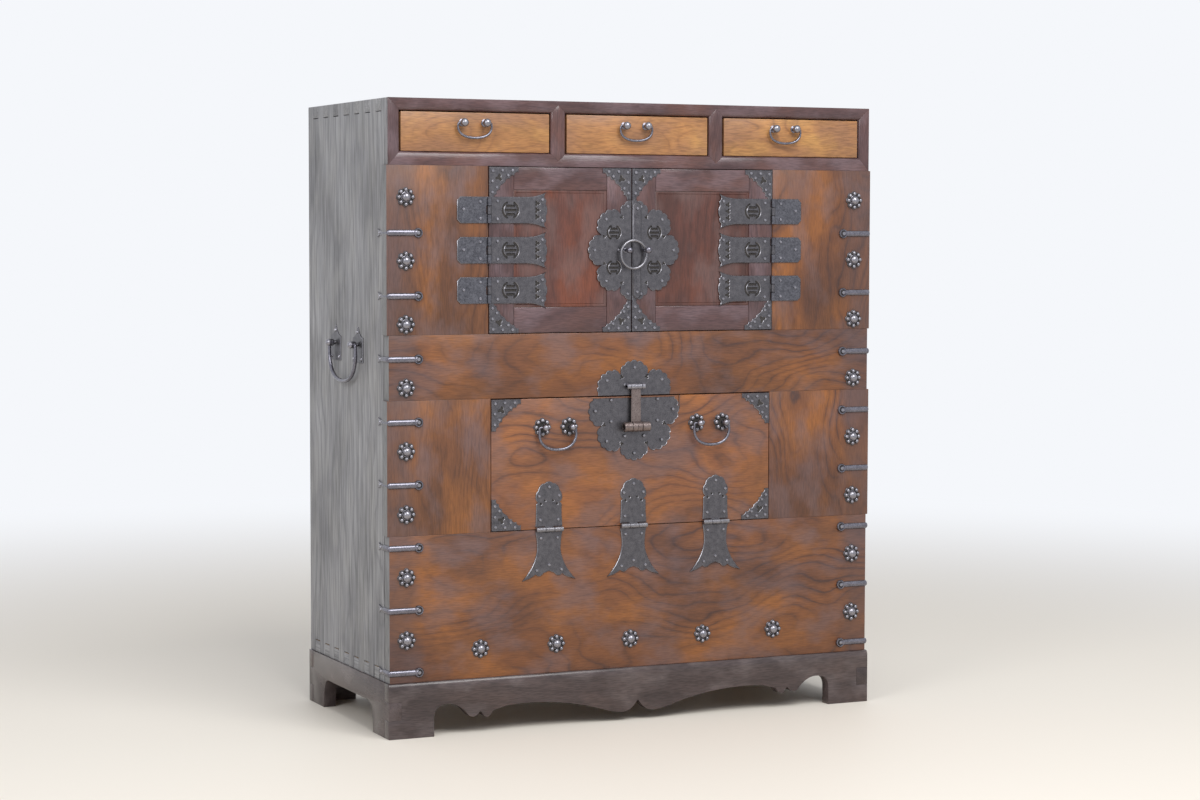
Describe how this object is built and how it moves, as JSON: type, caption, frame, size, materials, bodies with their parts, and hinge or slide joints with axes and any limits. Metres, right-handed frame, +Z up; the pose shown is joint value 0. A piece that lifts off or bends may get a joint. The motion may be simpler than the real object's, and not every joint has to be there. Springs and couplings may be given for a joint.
{
  "type": "storage chest",
  "caption": "Tall wooden chest with a row of small drawers over a pair of hinged doors and a drop-down front panel, on a cusped base, with iron strap hinges, lock plates and bails.",
  "frame": {"origin": "middle of the footprint of the whole chest, hardware included, on the floor under the feet", "axes": "+Z up, -Y out of the front with the doors, +X to the right seen from the front"},
  "size_m": [0.919, 0.426, 1.03],
  "materials": {
    "front_wood": "oiled and polished, strong flowing grain",
    "drawer_wood": "oiled and polished, light orange brown",
    "frame_wood": "oiled and polished, dark reddish brown",
    "side_wood": "matt, weathered grey brown",
    "base_wood": "polished dark reddish brown",
    "inner_wood": "bare, planed",
    "iron": "forged, dark grey, worn bright at the edges"
  },
  "bodies": {
    "case": {"base_front_apron": "base_wood", "base_back_apron": "base_wood", "base_left_apron": "base_wood", "base_right_apron": "base_wood", "bottom_board": "inner_wood", "top_board": "side_wood", "left_side_board": "side_wood", "right_side_board": "side_wood", "back_board": "side_wood", "compartment_shelf": "inner_wood", "drawer_shelf": "inner_wood", "drawer_divider_left": "frame_wood", "drawer_divider_right": "frame_wood", "drawer_frame_top_rail": "frame_wood", "drawer_frame_bottom_rail": "frame_wood", "drawer_frame_left_stile": "frame_wood", "drawer_frame_right_stile": "frame_wood", "bottom_front_board": "front_wood", "lower_left_front_board": "front_wood", "lower_right_front_board": "front_wood", "middle_rail": "front_wood", "upper_left_front_board": "front_wood", "upper_right_front_board": "front_wood", "left_hinge_top_case_leaf": "iron", "left_hinge_middle_case_leaf": "iron", "left_hinge_bottom_case_leaf": "iron", "right_hinge_top_case_leaf": "iron", "right_hinge_middle_case_leaf": "iron", "right_hinge_bottom_case_leaf": "iron", "fall_hinge_left_lower_leaf": "iron", "fall_hinge_middle_lower_leaf": "iron", "fall_hinge_right_lower_leaf": "iron", "upper_lock_plate": "iron"},
    "left_door_flap": {"left_door": "frame_wood", "left_hinge_top_door_leaf": "iron", "left_hinge_middle_door_leaf": "iron", "left_hinge_bottom_door_leaf": "iron", "left_lock_plate": "iron"},
    "right_door_flap": {"right_door": "frame_wood", "right_hinge_top_door_leaf": "iron", "right_hinge_middle_door_leaf": "iron", "right_hinge_bottom_door_leaf": "iron", "right_lock_plate": "iron"},
    "ring": {"lock_ring": "iron"},
    "fall_flap": {"fall_board": "front_wood", "fall_hinge_left_upper_leaf": "iron", "fall_hinge_middle_upper_leaf": "iron", "fall_hinge_right_upper_leaf": "iron", "lower_lock_plate": "iron"},
    "hasp_flap": {"hasp": "iron"},
    "left_drawer": {"drawer_left": "drawer_wood"},
    "middle_drawer": {"drawer_middle": "drawer_wood"},
    "right_drawer": {"drawer_right": "drawer_wood"},
    "left_drawer_bail": {"drawer_left_bail": "iron"},
    "middle_drawer_bail": {"drawer_middle_bail": "iron"},
    "right_drawer_bail": {"drawer_right_bail": "iron"},
    "left_fall_bail": {"fall_left_bail": "iron"},
    "right_fall_bail": {"fall_right_bail": "iron"},
    "left_bail": {"left_side_bail": "iron"},
    "right_bail": {"right_side_bail": "iron"}
  },
  "joints": [
    {"name": "left_door_swing", "type": "hinge", "parent": "case", "child": "left_door_flap", "pos_m": [-0.268, -0.1909, 0.787], "axis": [0, 0, -1], "range_deg": [0, 165]},
    {"name": "right_door_swing", "type": "hinge", "parent": "case", "child": "right_door_flap", "pos_m": [0.252, -0.1909, 0.787], "axis": [0, 0, 1], "range_deg": [0, 165]},
    {"name": "ring_swing", "type": "hinge", "parent": "right_door_flap", "child": "ring", "pos_m": [0.0096, -0.197, 0.78737], "axis": [-0.3175, 0, 0.9483], "range_deg": [0, 150]},
    {"name": "fall_drop", "type": "hinge", "parent": "case", "child": "fall_flap", "pos_m": [-0.008, -0.1915, 0.3285], "axis": [1, 0, 0], "range_deg": [0, 160]},
    {"name": "hasp_lift", "type": "hinge", "parent": "case", "child": "hasp_flap", "pos_m": [-0.008, -0.1943, 0.561], "axis": [-1, 0, 0], "range_deg": [0, 170]},
    {"name": "left_drawer_slide", "type": "slide", "parent": "case", "child": "left_drawer", "axis": [0, -1, 0], "range_m": [0, 0.3]},
    {"name": "middle_drawer_slide", "type": "slide", "parent": "case", "child": "middle_drawer", "axis": [0, -1, 0], "range_m": [0, 0.3]},
    {"name": "right_drawer_slide", "type": "slide", "parent": "case", "child": "right_drawer", "axis": [0, -1, 0], "range_m": [0, 0.3]},
    {"name": "left_drawer_bail_lift", "type": "hinge", "parent": "left_drawer", "child": "left_drawer_bail", "pos_m": [-0.2935, -0.192, 0.992], "axis": [-1, 0, 0], "range_deg": [0, 100]},
    {"name": "middle_drawer_bail_lift", "type": "hinge", "parent": "middle_drawer", "child": "middle_drawer_bail", "pos_m": [-0.006, -0.192, 0.992], "axis": [-1, 0, 0], "range_deg": [0, 100]},
    {"name": "right_drawer_bail_lift", "type": "hinge", "parent": "right_drawer", "child": "right_drawer_bail", "pos_m": [0.2735, -0.192, 0.992], "axis": [-1, 0, 0], "range_deg": [0, 100]},
    {"name": "left_fall_bail_lift", "type": "hinge", "parent": "fall_flap", "child": "left_fall_bail", "pos_m": [-0.1495, -0.197, 0.497], "axis": [-1, 0, 0], "range_deg": [0, 90]},
    {"name": "right_fall_bail_lift", "type": "hinge", "parent": "fall_flap", "child": "right_fall_bail", "pos_m": [0.1335, -0.197, 0.497], "axis": [-1, 0, 0], "range_deg": [0, 90]},
    {"name": "left_bail_lift", "type": "hinge", "parent": "case", "child": "left_bail", "pos_m": [-0.449, 0.013, 0.631], "axis": [0, 1, 0], "range_deg": [0, 110]},
    {"name": "right_bail_lift", "type": "hinge", "parent": "case", "child": "right_bail", "pos_m": [0.449, 0.013, 0.631], "axis": [0, -1, 0], "range_deg": [0, 110]}
  ]
}
